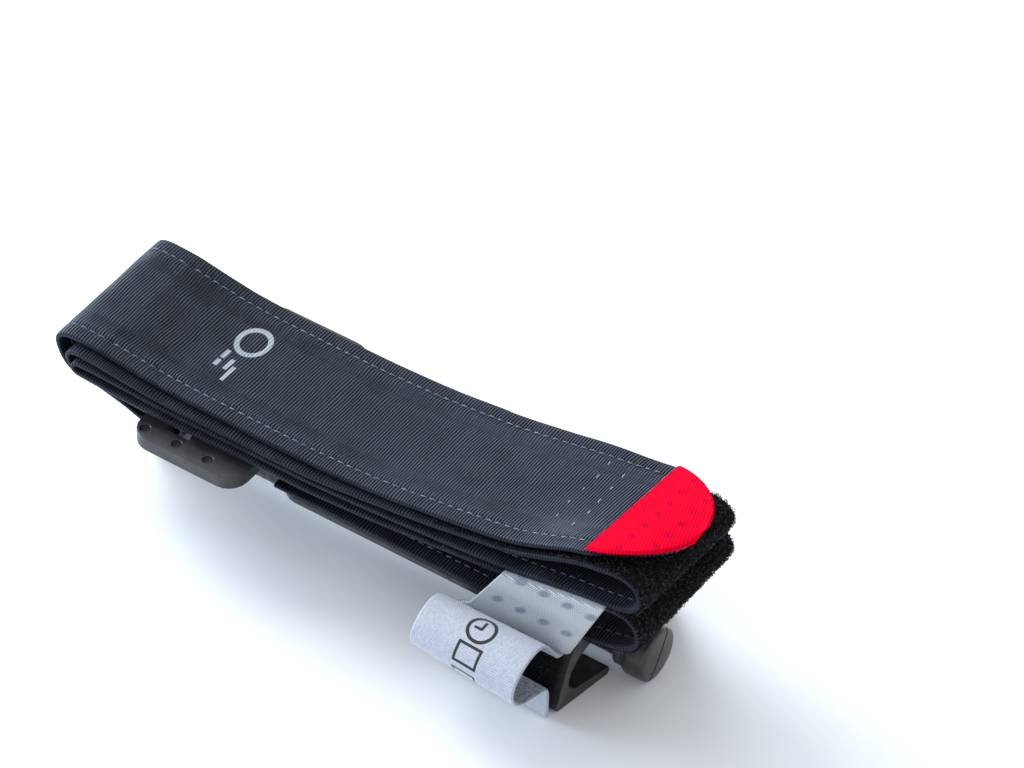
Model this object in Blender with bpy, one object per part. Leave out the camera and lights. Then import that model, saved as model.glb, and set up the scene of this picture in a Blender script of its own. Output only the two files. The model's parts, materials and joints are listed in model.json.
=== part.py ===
"""A windlass tourniquet, folded flat for carrying, with the windlass side down.

Frame: the origin is on the ground under the middle of the whole object, +X runs along the
windlass rod to the clip and the red tip, +Z is up. Outlines are drawn in millimetres from the
point under the middle of the rod; every object is then moved by BOX_MIDDLE. The band is one
strap. It is cut where it has to bend for a joint to move.
"""

import math

import bmesh
import bpy
from mathutils import Vector

MM = 0.001

# Where the middle of the whole object lies, seen from the point under the rod's middle
BOX_MIDDLE = (-2.1, -6.2, 0.0)

# Band
BAND_WIDTH = 38.0
BAND_THICK = 1.5
GAP = 0.3

# Windlass rod
ROD_HALF = 70.0
ROD_RADIUS = 4.3
COLLAR_RADIUS = 5.7
HEAD_RADIUS = 6.7
HEAD_LENGTH = 6.3
COLLAR_LENGTH = 2.9
SLOT_HALF_LENGTH = 9.5
SLOT_HALF_HEIGHT = 1.9

# Windlass clip
CLIP_FRONT = 57.6
CLIP_NOSE = 2.6
CLIP_ARMS_BACK = 33.0
CLIP_BASE_BACK = 26.0
CLIP_TOP = 18.5
CLIP_FOOT = 22.6
LIP_TIP = 5.0
LIP_THICK = 2.0

# Strap that closes over the clip
STRAP_X = (28.0, 57.0)
STRAP_THICK = 0.8
TUCK_X = (32.0, 58.9)
TUCK_LEAN = (0.60, 0.44)
TUCK_THICK = 0.7
STRAP_RECESS = 1.05

# Hook patches on the clip's outer walls
PATCH_X = (36.0, 56.0)
PATCH_THICK = 0.8
PATCH_STANDOFF = 0.1

# Stabilization plate
PLATE_X = (-22.0, 61.0)
PLATE_Z = (18.8, 20.5)
PLATE_WIDTH = 36.0
RISER_HOLE_RADIUS = 8.5

# Routing buckle
BUCKLE_X = (-57.0, -27.0)
BUCKLE_WIDTH = 54.6
BUCKLE_Z = (23.0, 26.6)
BUCKLE_SLOT_HALF = 21.8
DIMPLE_PITCH = 8.9
DIMPLE_RADIUS = 1.3
DIMPLE_ROW_Y = 24.4
DIMPLE_DEPTH = 0.8
TAIL_SLOT_X = (-50.6, -43.6)
ANCHOR_SLOT_X = (-37.0, -31.5)
ANCHOR_SLOT_HALF = 15.5
CUT_PAST = 2.0

# Where the band is cut, and the axes that it bends about
FOLD_CUT_X = -72.0
LEAD_END_X = -60.0
FOLD_AXIS = (-76.2, 31.7)
PEEL_X = 16.0
SEAM_X = 60.5
TIP_X = 80.0
TAPE_X = (43.0, 77.5)
BUCKLE_AXIS = (-29.25, 24.8)
STRAP_AXIS = (-18.6, 15.9)

# Red tip, hook tape, inner strap and anchor
RED_THICK = 0.6
TAPE_THICK = 0.4
TIP_ROUNDNESS = 0.62
TIP_LEAST_HALF = 1.2
INNER_STRAP_THICK = 0.4
INNER_STRAP_HALF = 12.5
ANCHOR_THICK = 1.0
ANCHOR_HALF = 14.0
RISER_RADIUS = 4.6
RISER_Z = (14.3, 20.6)
LOOP_THICK = 1.4
LOOP_HALF = 8.0

# The free end lies higher on the near side (-Y): lift of the top layer at the band's edge
SKEW_LIFT = 3.0
SKEW_START_X = 38.0
SKEW_FULL_X = 60.0
SKEW_LOW_Z = 25.0
SKEW_HIGH_Z = 47.0

BLACK_FABRIC = (0.022, 0.024, 0.032)
BLACK_PLASTIC = (0.020, 0.020, 0.022)
BLACK_HOOK = (0.012, 0.012, 0.014)
RED_FABRIC = (0.85, 0.006, 0.03)
GREY_FABRIC = (0.58, 0.62, 0.72)


def clear_scene():
    for obj in list(bpy.data.objects):
        bpy.data.objects.remove(obj, do_unlink=True)


def material(name, colour, roughness):
    mat = bpy.data.materials.new(name)
    mat.use_nodes = True
    shader = mat.node_tree.nodes["Principled BSDF"]
    shader.inputs["Base Color"].default_value = (*colour, 1.0)
    shader.inputs["Roughness"].default_value = roughness
    shader.inputs["Metallic"].default_value = 0.0
    return mat


def smoothstep(value, low, high):
    t = min(max((value - low) / (high - low), 0.0), 1.0)
    return t * t * (3.0 - 2.0 * t)


def skewed(x, y, z):
    """The point after the free end's sideways tilt, which grows with x and with height."""
    share = smoothstep(x, SKEW_START_X, SKEW_FULL_X)
    height = min(max((z - SKEW_LOW_Z) / (SKEW_HIGH_Z - SKEW_LOW_Z), 0.0), 1.1)
    return x, y, z - SKEW_LIFT * share * height * y / (BAND_WIDTH / 2)


def add_object(name, mesh, finish, origin=(0.0, 0.0, 0.0)):
    """Links a mesh drawn in metres as an object whose origin is at the given millimetre point."""
    shift = Vector(origin) * MM
    for vertex in mesh.vertices:
        vertex.co -= shift
    obj = bpy.data.objects.new(name, mesh)
    obj.location = shift - Vector(BOX_MIDDLE) * MM
    mesh.materials.append(finish)
    bpy.context.scene.collection.objects.link(obj)
    return obj


def mesh_from(name, points, faces):
    mesh = bpy.data.meshes.new(name)
    mesh.from_pydata([tuple(c * MM for c in p) for p in points], [], faces)
    work = bmesh.new()
    work.from_mesh(mesh)
    bmesh.ops.recalc_face_normals(work, faces=work.faces)
    work.to_mesh(mesh)
    work.free()
    return mesh


def shade_round(obj, angle=35.0):
    obj.data.shade_smooth()
    obj.data.set_sharp_from_angle(angle=math.radians(angle))


def spline(points, steps=14):
    """A smooth curve through the points (Catmull-Rom), as close points."""
    padded = [points[0], *points, points[-1]]
    curve = []
    for a, b, c, d in zip(padded, padded[1:], padded[2:], padded[3:]):
        for step in range(steps):
            t = step / steps
            curve.append(
                tuple(
                    0.5
                    * (
                        2 * q
                        + (r - p) * t
                        + (2 * p - 5 * q + 4 * r - s) * t * t
                        + (3 * q - p - 3 * r + s) * t**3
                    )
                    for p, q, r, s in zip(a, b, c, d)
                )
            )
    curve.append(tuple(points[-1]))
    return curve


def reach_at(x):
    """How far apart a band's points may lie: close where the sideways tilt grows."""
    return 2.6 if x > SKEW_START_X - 2 else 8.0


def thinned(curve, turn=math.radians(5.0)):
    """The curve with points only where it has turned or run far enough."""
    kept = [curve[0]]
    heading = math.atan2(curve[1][1] - curve[0][1], curve[1][0] - curve[0][0])
    for before, point in zip(curve, curve[1:-1]):
        now = math.atan2(point[1] - before[1], point[0] - before[0])
        turned = abs((now - heading + math.pi) % (2 * math.pi) - math.pi)
        if turned > turn or math.dist(point, kept[-1]) > reach_at(point[0]):
            kept.append(point)
            heading = now
    return [*kept, curve[-1]]


def normals(curve):
    """Unit normals of an open curve, to the left of its direction."""
    found = []
    last = len(curve) - 1
    for i in range(len(curve)):
        a, b = curve[max(i - 1, 0)], curve[min(i + 1, last)]
        length = math.dist(a, b)
        found.append((-(b[1] - a[1]) / length, (b[0] - a[0]) / length))
    return found


def sheet(name, curve, thick, place, half_width):
    """A closed strip: the curve with a thickness, swept sideways.

    place turns (along, up, side) into a point. half_width gives the two side values.
    Every sheet is cut into triangles the same way round, so that neighbours that twist
    together keep their distance.
    """
    points = []
    for (u, v), (nu, nv) in zip(curve, normals(curve)):
        low, high = half_width(u, v)
        for sign, side in ((1, low), (-1, low), (-1, high), (1, high)):
            points.append(
                place(u + sign * nu * thick / 2, v + sign * nv * thick / 2, side)
            )
    faces = [(0, 1, 2, 3)]
    for i in range(len(curve) - 1):
        forward = curve[i + 1][0] > curve[i][0]
        for k in range(4):
            n = (k + 1) % 4
            a, b, c, d = 4 * i + k, 4 * i + 4 + k, 4 * i + 4 + n, 4 * i + n
            if (k == 3) == forward:
                faces += [(a, b, d), (b, c, d)]
            else:
                faces += [(a, b, c), (a, c, d)]
    end = 4 * (len(curve) - 1)
    faces.append((end + 3, end + 2, end + 1, end))
    return mesh_from(name, points, faces)


def band(name, controls, finish, thick=BAND_THICK, half=BAND_WIDTH / 2, origin=(0, 0, 0)):
    """A stretch of band that runs in X and Z and is as wide as the band in Y."""
    width = half if callable(half) else lambda x, z: (-half, half)
    curve = thinned(spline(controls))
    mesh = sheet(name, curve, thick, lambda x, z, y: skewed(x, y, z), width)
    obj = add_object(name, mesh, finish, origin)
    shade_round(obj)
    return obj


def crosswise(name, controls, thick, x_range, finish, origin=(0, 0, 0)):
    """A strip that runs in Y and Z, as the closing strap and the hook patches do.

    x_range is its two side values, or a function that gives them at a point (y, z).
    """
    curve = thinned(spline(controls))
    sides = x_range if callable(x_range) else lambda y, z: x_range
    mesh = sheet(name, curve, thick, lambda y, z, x: (x, y, z), sides)
    obj = add_object(name, mesh, finish, origin)
    shade_round(obj)
    return obj


def prism(name, outline, place, low, high):
    """A closed prism: the outline at one side value and again at the other."""
    count = len(outline)
    points = [place(u, v, low) for u, v in outline]
    points += [place(u, v, high) for u, v in outline]
    faces = [tuple(range(count)), tuple(range(2 * count - 1, count - 1, -1))]
    for i in range(count):
        n = (i + 1) % count
        faces.append((i, n, count + n, count + i))
    return mesh_from(name, points, faces)


def cutter(name, mesh):
    obj = bpy.data.objects.new(name, mesh)
    obj.location = -Vector(BOX_MIDDLE) * MM
    obj.hide_render = True
    obj.display_type = "WIRE"
    bpy.context.scene.collection.objects.link(obj)
    return obj


def boolean(obj, other, operation="DIFFERENCE"):
    modifier = obj.modifiers.new(other.name, "BOOLEAN")
    modifier.operation = operation
    modifier.solver = "EXACT"
    modifier.object = other


def upright(x, y, z):
    return x, y, z


def rounded_box(x_range, half_y, radius, steps=5):
    """Outline of a rectangle about the X axis, with rounded corners."""
    outline = []
    corners = (
        (x_range[1] - radius, half_y - radius, 0.0),
        (x_range[0] + radius, half_y - radius, 90.0),
        (x_range[0] + radius, -half_y + radius, 180.0),
        (x_range[1] - radius, -half_y + radius, 270.0),
    )
    for cx, cy, start in corners:
        for step in range(steps + 1):
            a = math.radians(start + 90.0 * step / steps)
            outline.append((cx + radius * math.cos(a), cy + radius * math.sin(a)))
    return outline


def circle(cx, cy, radius, steps):
    angles = [2 * math.pi * k / steps for k in range(steps)]
    return [(cx + radius * math.cos(a), cy + radius * math.sin(a)) for a in angles]


# Layers of the folded band, from the top down. Each list runs along the layer's middle.
UPPER_TAIL = [
    (FOLD_CUT_X + GAP, 37.2),
    (-62, 36.1),
    (-52, 35.2),
    (-40, 34.9),
    (-24, 34.6),
    (-8, 34.8),
    (6, 35.7),
    (PEEL_X - 0.5, 36.9),
]
TAIL_END = [(PEEL_X + 0.5, 37.0), (28, 38.6), (40, 40.6), (50, 43.0), (SEAM_X, 45.9)]
TAIL_TIP = [(70, 47.3), (TIP_X - 0.2, 48.0)]
UPPER_RING = [
    (FOLD_CUT_X + GAP, 35.1),
    (-52, 33.3),
    (-40, 33.0),
    (-24, 32.7),
    (-8, 32.8),
    (16, 34.6),
    (28, 36.1),
    (40, 37.9),
    (50, 40.2),
    (60, 43.0),
    (69, 44.5),
    (73.6, 43.6),
    (75.3, 40.9),
    (74.2, 38.0),
    (70, 36.5),
    (58, 35.2),
    (40, 33.6),
    (16, 31.6),
    (-8, 30.6),
    (-24, 30.85),
    (-40, 31.15),
    (-52, 31.45),
    (FOLD_CUT_X + GAP, 33.0),
]
LOWER_RING = [
    (FOLD_CUT_X + GAP, 30.4),
    (-52, 29.6),
    (-40, 29.3),
    (-24, 29.0),
    (-8, 28.0),
    (16, 28.4),
    (40, 30.6),
    (58, 33.0),
    (69, 34.2),
    (73.4, 33.0),
    (75.1, 30.0),
    (74.0, 27.0),
    (69.5, 25.0),
    (64, 24.0),
    (56, 22.9),
    (46, 22.3),
    (30, 22.3),
    (0, 22.3),
    (PLATE_X[0], 22.3),
]
INNER_FOLD = [
    (FOLD_CUT_X, 33.0),
    (-75.2, 33.0),
    (-76.3, 33.0),
    (-77.22, 32.62),
    (-77.6, 31.7),
    (-77.22, 30.78),
    (-76.3, 30.4),
    (-75.2, 30.4),
    (FOLD_CUT_X, 30.4),
]
OUTER_FOLD = [
    (FOLD_CUT_X, 35.1),
    (-77.4, 35.3),
    (-80.2, 34.6),
    (-81.0, 33.0),
    (-80.3, 31.2),
    (-78.4, 29.3),
    (-75.8, 28.5),
    (FOLD_CUT_X, 28.3),
]
TAIL_FOLD = [
    (FOLD_CUT_X, 37.2),
    (-78.5, 37.4),
    (-82.0, 36.7),
    (-83.3, 34.8),
    (-82.8, 31.9),
    (-81.1, 28.8),
    (-77.9, 26.8),
    (FOLD_CUT_X, 26.2),
]
LOWER_TAIL = [(FOLD_CUT_X + GAP, 26.15), (-66, 24.8), (LEAD_END_X, 22.7)]
LEAD = [(FOLD_CUT_X + GAP, 28.3), (-66, 27.9), (LEAD_END_X, 27.7)]
BUCKLE_TURN = [
    (LEAD_END_X + 0.5, 22.5),
    (-56.5, 21.9),
    (-52.0, 21.85),
    (-49.5, 22.25),
    (-48.1, 23.4),
    (-47.7, 24.8),
    (-48.1, 26.2),
    (-49.5, 27.35),
    (-52.0, 27.75),
    (-56.5, 27.7),
    (LEAD_END_X + 0.5, 27.7),
]


def tip_half_width(x, z):
    """Half the width of the free end, which narrows to a rounded tip past its seam."""
    full = BAND_WIDTH / 2 - 0.2
    share = min(max((x - SEAM_X) / (TIP_X - SEAM_X), 0.0), 1.0)
    half = full * math.sqrt(max(1.0 - share ** (1 / TIP_ROUNDNESS), 0.0))
    return -max(half, TIP_LEAST_HALF), max(half, TIP_LEAST_HALF)


def make_band(fabric):
    fold_pivot = (FOLD_AXIS[0], 0, FOLD_AXIS[1])
    buckle_pivot = (BUCKLE_AXIS[0], 0, BUCKLE_AXIS[1])
    band("upper_ring_band", UPPER_RING, fabric, origin=fold_pivot)
    band("upper_tail_band", UPPER_TAIL, fabric, origin=fold_pivot)
    band("lower_ring_band", LOWER_RING, fabric)
    band("inner_fold_band", INNER_FOLD, fabric)
    band("outer_fold_band", OUTER_FOLD, fabric)
    band("tail_fold_band", TAIL_FOLD, fabric)
    band("lower_tail_band", LOWER_TAIL, fabric)
    band("lead_band", LEAD, fabric)
    band("buckle_turn_band", BUCKLE_TURN, fabric, origin=buckle_pivot)


def below(points, drop):
    return [(x, z - drop) for x, z in points]


def make_tail_end(fabric, red, hook):
    """The free end that peels up, its red tip on top and its hook tape underneath."""
    top = TAIL_END[0][1] + BAND_THICK / 2
    pivot = (PEEL_X, 0, top)
    band("tail_end_band", TAIL_END + TAIL_TIP, fabric, half=tip_half_width, origin=pivot)
    cover = below([TAIL_END[-1], *TAIL_TIP], -(BAND_THICK / 2 + GAP + RED_THICK / 2))
    cover[0] = (SEAM_X + 0.3, cover[0][1] + 0.1)
    band("red_tip", cover, red, RED_THICK, tip_half_width, pivot)
    middle = spline(TAIL_END + TAIL_TIP)
    tape = below(
        [(x, z) for x, z in middle if TAPE_X[0] < x < TAPE_X[1]],
        BAND_THICK / 2 + 1.5 * GAP + TAPE_THICK / 2,
    )

    def tape_half(x, z):
        low, high = tip_half_width(x + 1.5, z)
        return low + 1.2, high - 1.2

    band("tail_hook_tape", tape, hook, TAPE_THICK, tape_half, pivot)


def make_plate(plastic):
    """The flat plate under the windlass, with a round opening for the pull strap."""
    outline = rounded_box(PLATE_X, PLATE_WIDTH / 2, 5.0)
    mesh = prism("stabilization_plate", outline, upright, *PLATE_Z)
    plate = add_object("stabilization_plate", mesh, plastic)
    hole = circle(0.0, 0.0, RISER_HOLE_RADIUS, 28)
    boolean(
        plate,
        cutter(
            "riser_hole_cutter",
            prism("riser_hole_cutter", hole, upright, PLATE_Z[0] - CUT_PAST, PLATE_Z[1] + CUT_PAST),
        ),
    )
    shade_round(plate)


def clip_half_outline():
    """The clip's section on the far side, from the top middle round the foot and back inside."""
    outside = spline([(10.0, CLIP_TOP), (14.2, 17.0), (17.0, 13.6), (19.4, 8.6), (21.6, 3.2)], 4)
    foot = [(CLIP_FOOT, 0.9), (CLIP_FOOT - 0.8, 0.0)]
    lip = [(LIP_TIP + 0.8, 0.0), (LIP_TIP, 0.9), (LIP_TIP + 0.3, LIP_THICK)]
    inside = spline(
        [(15.4, LIP_THICK + 0.2), (17.6, 4.6), (16.8, 8.2), (14.2, 12.0), (9.6, 14.8)], 4
    )
    return outside + foot + lip + inside


def make_clip(plastic):
    """The holder that the rod rests in: two arms curve down to lips that turn inwards."""
    half = clip_half_outline()
    outline = half + [(-y, z) for y, z in reversed(half)]
    count = len(outline)
    points = [(CLIP_ARMS_BACK, y, z) for y, z in outline]
    for y, z in outline:
        nose = CLIP_NOSE * min(max((17.0 - abs(y)) / 11.0, 0.0), 1.0)
        points.append((CLIP_FRONT + nose, y, z))
    faces = [tuple(range(count)), tuple(range(2 * count - 1, count - 1, -1))]
    faces += [
        (i, (i + 1) % count, count + (i + 1) % count, count + i) for i in range(count)
    ]
    clip = add_object("windlass_clip", mesh_from("windlass_clip", points, faces), plastic)
    base_outline = rounded_box((CLIP_BASE_BACK, CLIP_ARMS_BACK + 4.0), 10.0, 2.5)
    base = prism("clip_base_helper", base_outline, upright, 15.3, CLIP_TOP)
    boolean(clip, cutter("clip_base_helper", base), "UNION")
    recess_x = (STRAP_X[0] - 0.5, STRAP_X[1] + 0.4)
    beyond = CLIP_FOOT + CUT_PAST
    outline = [(x, y) for y in (-beyond, beyond) for x in sorted(recess_x, reverse=y > 0)]
    recess = prism(
        "strap_recess_cutter", outline, upright, CLIP_TOP - STRAP_RECESS, CLIP_TOP + CUT_PAST
    )
    boolean(clip, cutter("strap_recess_cutter", recess))
    shade_round(clip)


WALL_LINE = [(18.35, 13.3), (19.3, 11.3), (20.4, 8.9), (21.5, 6.3), (22.4, 4.0)]


def make_hook_patches(hook):
    """A hook patch on each outer wall of the clip, for the closing strap to stick to."""
    far = [(y + PATCH_STANDOFF, z) for y, z in WALL_LINE]
    near = [(-y, z) for y, z in far]
    crosswise("hook_patch_far", far, PATCH_THICK, PATCH_X, hook)
    crosswise("hook_patch_near", near, PATCH_THICK, PATCH_X, hook)


TUCK_LINE = [(-19.95, 34.8), (-20.05, 30.0), (-20.0, 24.0), (-19.9, 19.5), (-19.8, 17.6)]
STRAP_LINE = [
    (-18.9, 15.9),
    (-21.2, 16.5),
    (-23.6, 19.6),
    (-26.0, 23.6),
    (-29.5, 25.5),
    (-34.2, 24.8),
    (-38.2, 21.9),
    (-39.2, 18.3),
    (-36.8, 14.6),
    (-32.0, 12.3),
    (-27.6, 10.9),
    (-25.2, 9.2),
    (-24.7, 5.6),
    (-24.9, 0.6),
]


def tuck_sides(y, z):
    """The tucked end's two sides. It leans towards the red tip as it rises."""
    rise = z - TUCK_LINE[-1][1]
    return TUCK_X[0] + TUCK_LEAN[0] * rise, TUCK_X[1] + TUCK_LEAN[1] * rise


def make_closing_strap(cloth):
    """The strap that closes the clip: one end is tucked up beside the folded band, the rest
    is rolled out beside the clip."""
    crosswise("closing_strap_tuck", TUCK_LINE, TUCK_THICK, tuck_sides, cloth)
    pivot = (0, STRAP_AXIS[0], STRAP_AXIS[1])
    crosswise("closing_strap", STRAP_LINE, STRAP_THICK, STRAP_X, cloth, pivot)


def rod_profile():
    """Half the rod's turned outline as (distance from the middle, radius)."""
    head = ROD_HALF - HEAD_LENGTH
    collar = head - COLLAR_LENGTH
    return [
        (collar, ROD_RADIUS),
        (collar + 0.7, COLLAR_RADIUS),
        (head - 0.6, COLLAR_RADIUS),
        (head - 0.1, HEAD_RADIUS - 0.3),
        (head + 1.0, HEAD_RADIUS),
        (ROD_HALF - 1.2, HEAD_RADIUS),
        (ROD_HALF - 0.5, HEAD_RADIUS - 0.5),
        (ROD_HALF, HEAD_RADIUS - 2.2),
    ]


def make_rod(plastic, segments=28):
    """The rod turned about X, with a window through its middle for the pull strap."""
    half = rod_profile()
    profile = [(-x, r) for x, r in reversed(half)] + half
    points = []
    for x, radius in profile:
        for y, z in circle(0.0, 0.0, radius, segments):
            points.append((x, y, z + HEAD_RADIUS))
    rings = len(profile)
    last = (rings - 1) * segments
    faces = [tuple(range(segments)), tuple(range(last + segments - 1, last - 1, -1))]
    for ring in range(rings - 1):
        for k in range(segments):
            a, b = ring * segments + k, ring * segments + (k + 1) % segments
            faces.append((a, b, b + segments, a + segments))
    rod = add_object(
        "windlass_rod", mesh_from("windlass_rod", points, faces), plastic, (0, 0, HEAD_RADIUS)
    )
    window = [
        (x, z + HEAD_RADIUS)
        for x, z in rounded_box((-SLOT_HALF_LENGTH, SLOT_HALF_LENGTH), SLOT_HALF_HEIGHT, 1.8, 4)
    ]
    window_mesh = prism("rod_window_cutter", window, lambda x, z, y: (x, y, z), -12, 12)
    boolean(rod, cutter("rod_window_cutter", window_mesh))
    shade_round(rod)


def make_pull_strap(fabric):
    """The inner strap: flat in the band, gathered down through the plate, looped through the rod."""
    flat = [(-20, 21.0), (10, 21.0), (44, 21.0)]
    band("inner_strap", flat, fabric, INNER_STRAP_THICK, INNER_STRAP_HALF)
    riser = prism("riser_strap", circle(0.0, 0.0, RISER_RADIUS, 20), upright, *RISER_Z)
    obj = add_object("riser_strap", riser, fabric, (0, 0, HEAD_RADIUS))
    shade_round(obj)
    loop = [
        (5.6, 13.6),
        (6.6, 11.6),
        (6.8, 9.0),
        (5.6, 7.3),
        (3.0, HEAD_RADIUS),
        (-3.0, HEAD_RADIUS),
        (-5.6, 7.3),
        (-6.8, 9.0),
        (-6.6, 11.6),
        (-5.6, 13.6),
    ]
    crosswise("slot_loop", loop, LOOP_THICK, (-LOOP_HALF, LOOP_HALF), fabric, (0, 0, HEAD_RADIUS))


def toothed_slot(x_range, half_y, teeth=9, depth=0.7):
    """Outline of a slot whose +X edge is scalloped, to grip the band."""
    outline = [(x_range[0], half_y), (x_range[0], -half_y)]
    steps = teeth * 6
    for k in range(steps + 1):
        y = -half_y + 2 * half_y * k / steps
        wave = abs(math.sin(math.pi * teeth * k / steps))
        outline.append((x_range[1] - depth * wave, y))
    return outline


def make_buckle(plastic):
    """The flat frame that the tail threads: two bars, a middle bar and two slots."""
    frame_mesh = prism(
        "routing_buckle", rounded_box(BUCKLE_X, BUCKLE_WIDTH / 2, 5.0), upright, *BUCKLE_Z
    )
    pivot = (BUCKLE_AXIS[0], 0, BUCKLE_AXIS[1])
    buckle = add_object("routing_buckle", frame_mesh, plastic, pivot)
    low, high = BUCKLE_Z[0] - CUT_PAST, BUCKLE_Z[1] + CUT_PAST
    slots = {
        "tail_slot_cutter": toothed_slot(TAIL_SLOT_X, BUCKLE_SLOT_HALF),
        "anchor_slot_cutter": rounded_box(ANCHOR_SLOT_X, ANCHOR_SLOT_HALF, 1.5, 3),
    }
    for name, outline in slots.items():
        boolean(buckle, cutter(name, prism(name, outline, upright, low, high)))
    first = BUCKLE_X[0] + 2.8
    for side in (-1, 1):
        for k in range(3):
            name = f"dimple_cutter_{'near' if side < 0 else 'far'}_{k}"
            spot = circle(first + DIMPLE_PITCH * k, side * DIMPLE_ROW_Y, DIMPLE_RADIUS, 12)
            dimple = prism(name, spot, upright, BUCKLE_Z[1] - DIMPLE_DEPTH, high)
            boolean(buckle, cutter(name, dimple))
    edge = buckle.modifiers.new("soft_edges", "BEVEL")
    edge.width = 0.5 * MM
    edge.segments = 1
    edge.limit_method = "ANGLE"
    edge.angle_limit = math.radians(60)
    shade_round(buckle)


def make_anchor(fabric):
    """The short folded webbing that holds the buckle's inner bar to the start of the band."""
    loop = [
        (-18.0, 23.9),
        (-21.6, 24.0),
        (-24.0, 25.5),
        (-26.0, 27.0),
        (-28.4, 27.5),
        (-31.0, 27.45),
        (-33.4, 26.5),
        (-34.2, 24.8),
        (-33.4, 23.0),
        (-31.0, 22.1),
        (-26.0, 22.1),
        (PLATE_X[0] - 0.8, 22.1),
    ]
    band("anchor_loop", loop, fabric, ANCHOR_THICK, ANCHOR_HALF)


def main():
    clear_scene()
    fabric = material("band_fabric", BLACK_FABRIC, 0.85)
    plastic = material("black_plastic", BLACK_PLASTIC, 0.45)
    hook = material("hook_tape", BLACK_HOOK, 0.95)
    red = material("red_fabric", RED_FABRIC, 0.75)
    cloth = material("grey_strap", GREY_FABRIC, 0.85)
    make_band(fabric)
    make_tail_end(fabric, red, hook)
    make_plate(plastic)
    make_clip(plastic)
    make_hook_patches(hook)
    make_closing_strap(cloth)
    make_rod(plastic)
    make_pull_strap(fabric)
    make_buckle(plastic)
    make_anchor(fabric)


main()
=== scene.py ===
"""The looks of a folded windlass tourniquet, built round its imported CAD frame.

Every strap is rebuilt along the line that its CAD solid follows: the solid's side walls give
the strap's two edges, and a fine closed mesh with ribs, knit or pile is swept along them.
Points are in metres. Sizes are given in millimetres and multiplied by MM, except for the
camera and the studio. A strap's vertices carry two attributes for its material: "weave" holds
the distances along and across it in millimetres and the side (1 or -1), and "crest" the height
of its relief, from 0 to 1.
"""

import json
import math

import bpy
import numpy as np
from mathutils import Matrix, Vector


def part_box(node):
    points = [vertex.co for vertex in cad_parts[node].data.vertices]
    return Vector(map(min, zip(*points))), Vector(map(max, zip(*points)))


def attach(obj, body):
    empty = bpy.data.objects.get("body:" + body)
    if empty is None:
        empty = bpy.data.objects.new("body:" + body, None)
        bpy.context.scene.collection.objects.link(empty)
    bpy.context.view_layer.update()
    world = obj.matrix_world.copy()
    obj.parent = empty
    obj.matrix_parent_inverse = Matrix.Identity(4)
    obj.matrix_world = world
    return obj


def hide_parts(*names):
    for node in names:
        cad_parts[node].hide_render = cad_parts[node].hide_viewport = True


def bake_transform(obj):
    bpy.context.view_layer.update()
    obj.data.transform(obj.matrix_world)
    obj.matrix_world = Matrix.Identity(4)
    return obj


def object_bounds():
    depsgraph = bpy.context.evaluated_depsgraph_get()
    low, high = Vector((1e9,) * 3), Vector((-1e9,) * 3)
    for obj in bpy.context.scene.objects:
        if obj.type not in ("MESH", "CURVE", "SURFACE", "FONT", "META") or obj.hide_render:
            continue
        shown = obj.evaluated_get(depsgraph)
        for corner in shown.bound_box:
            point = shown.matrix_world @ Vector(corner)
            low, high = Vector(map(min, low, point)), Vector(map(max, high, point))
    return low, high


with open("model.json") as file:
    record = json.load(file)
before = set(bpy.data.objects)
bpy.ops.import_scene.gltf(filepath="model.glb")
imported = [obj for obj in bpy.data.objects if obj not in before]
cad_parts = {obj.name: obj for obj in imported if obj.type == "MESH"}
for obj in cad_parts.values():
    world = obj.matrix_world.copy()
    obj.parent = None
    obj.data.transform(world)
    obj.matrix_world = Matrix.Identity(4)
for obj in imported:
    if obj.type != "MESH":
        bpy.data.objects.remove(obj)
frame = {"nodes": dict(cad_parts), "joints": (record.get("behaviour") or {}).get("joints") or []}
CAD_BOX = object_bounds()

MM = 0.001

# Straps: distance between stations, an edge's thickness as a share of the strap's, and the
# least half width
STEP = 0.125
EDGE_SHARE = 0.4
LEAST_HALF = 0.3

# Band and its seams
RIB_PITCH = 0.75
RIB_RELIEF = 0.2
BAND_THICK = 1.0
SEAM_INSET = 3.8
STITCH_PITCH = 2.5
STITCH_LENGTH = 1.9
STITCH_RADIUS = 0.13
TACK_ROWS = (8.2, 13.8)
TACK_RADIUS = 0.11

# How the band lies: each fold at the left end is pulled in by (distance, reach along the band),
# and the top layer's far edge is lifted at its left corner and at its free end
OUTER_FOLD_PULL = (1.9, 22.0)
INNER_FOLD_PULL = (0.7, 16.0)
CORNER_RISE = 1.7
CORNER_REACH = 42.0
FREE_END_RISE = 1.3

# Free end: length of the red tip as a share of the solid's, how far the webbing stops short of
# it, and where along the tip the webbing draws in (from, to, past the seam)
TIP_SHARE = 0.93
WEBBING_SHORT = 1.4
DRAW_IN = (1.0, 4.0)
RED_THICK = 0.42

# Pile tape on the outside of the two rings
PILE_START_X = 24.0
PILE_DENSE_X = 56.0
PILE_THICK = 0.25
PILE_INSET = 0.25
SPARSE_LOOPS = 4500
DENSE_LOOPS = 7000
LOOP_RADIUS = 0.075

# Hook tapes: (node, side axis, body, distance between hooks, thickness)
HOOK_TAPES = (
    ("tail_hook_tape", 1, "tail_end", 1.3, 0.3),
    ("hook_patch_near", 0, "base", 0.85, 1.2),
    ("hook_patch_far", 0, "base", 0.85, 1.2),
)
HOOK_RADIUS = 0.06

# Camera, in degrees, metres and millimetres of lens
CAMERA_AZIMUTH = 34.9
CAMERA_ELEVATION = 43.96
CAMERA_DISTANCE = 1.0
CAMERA_LENS = 155.4
CAMERA_ROLL = 0.6
AIM_HEIGHT = 0.020
AIM_RIGHT = 0.0248
AIM_UP = 0.0229

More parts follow.
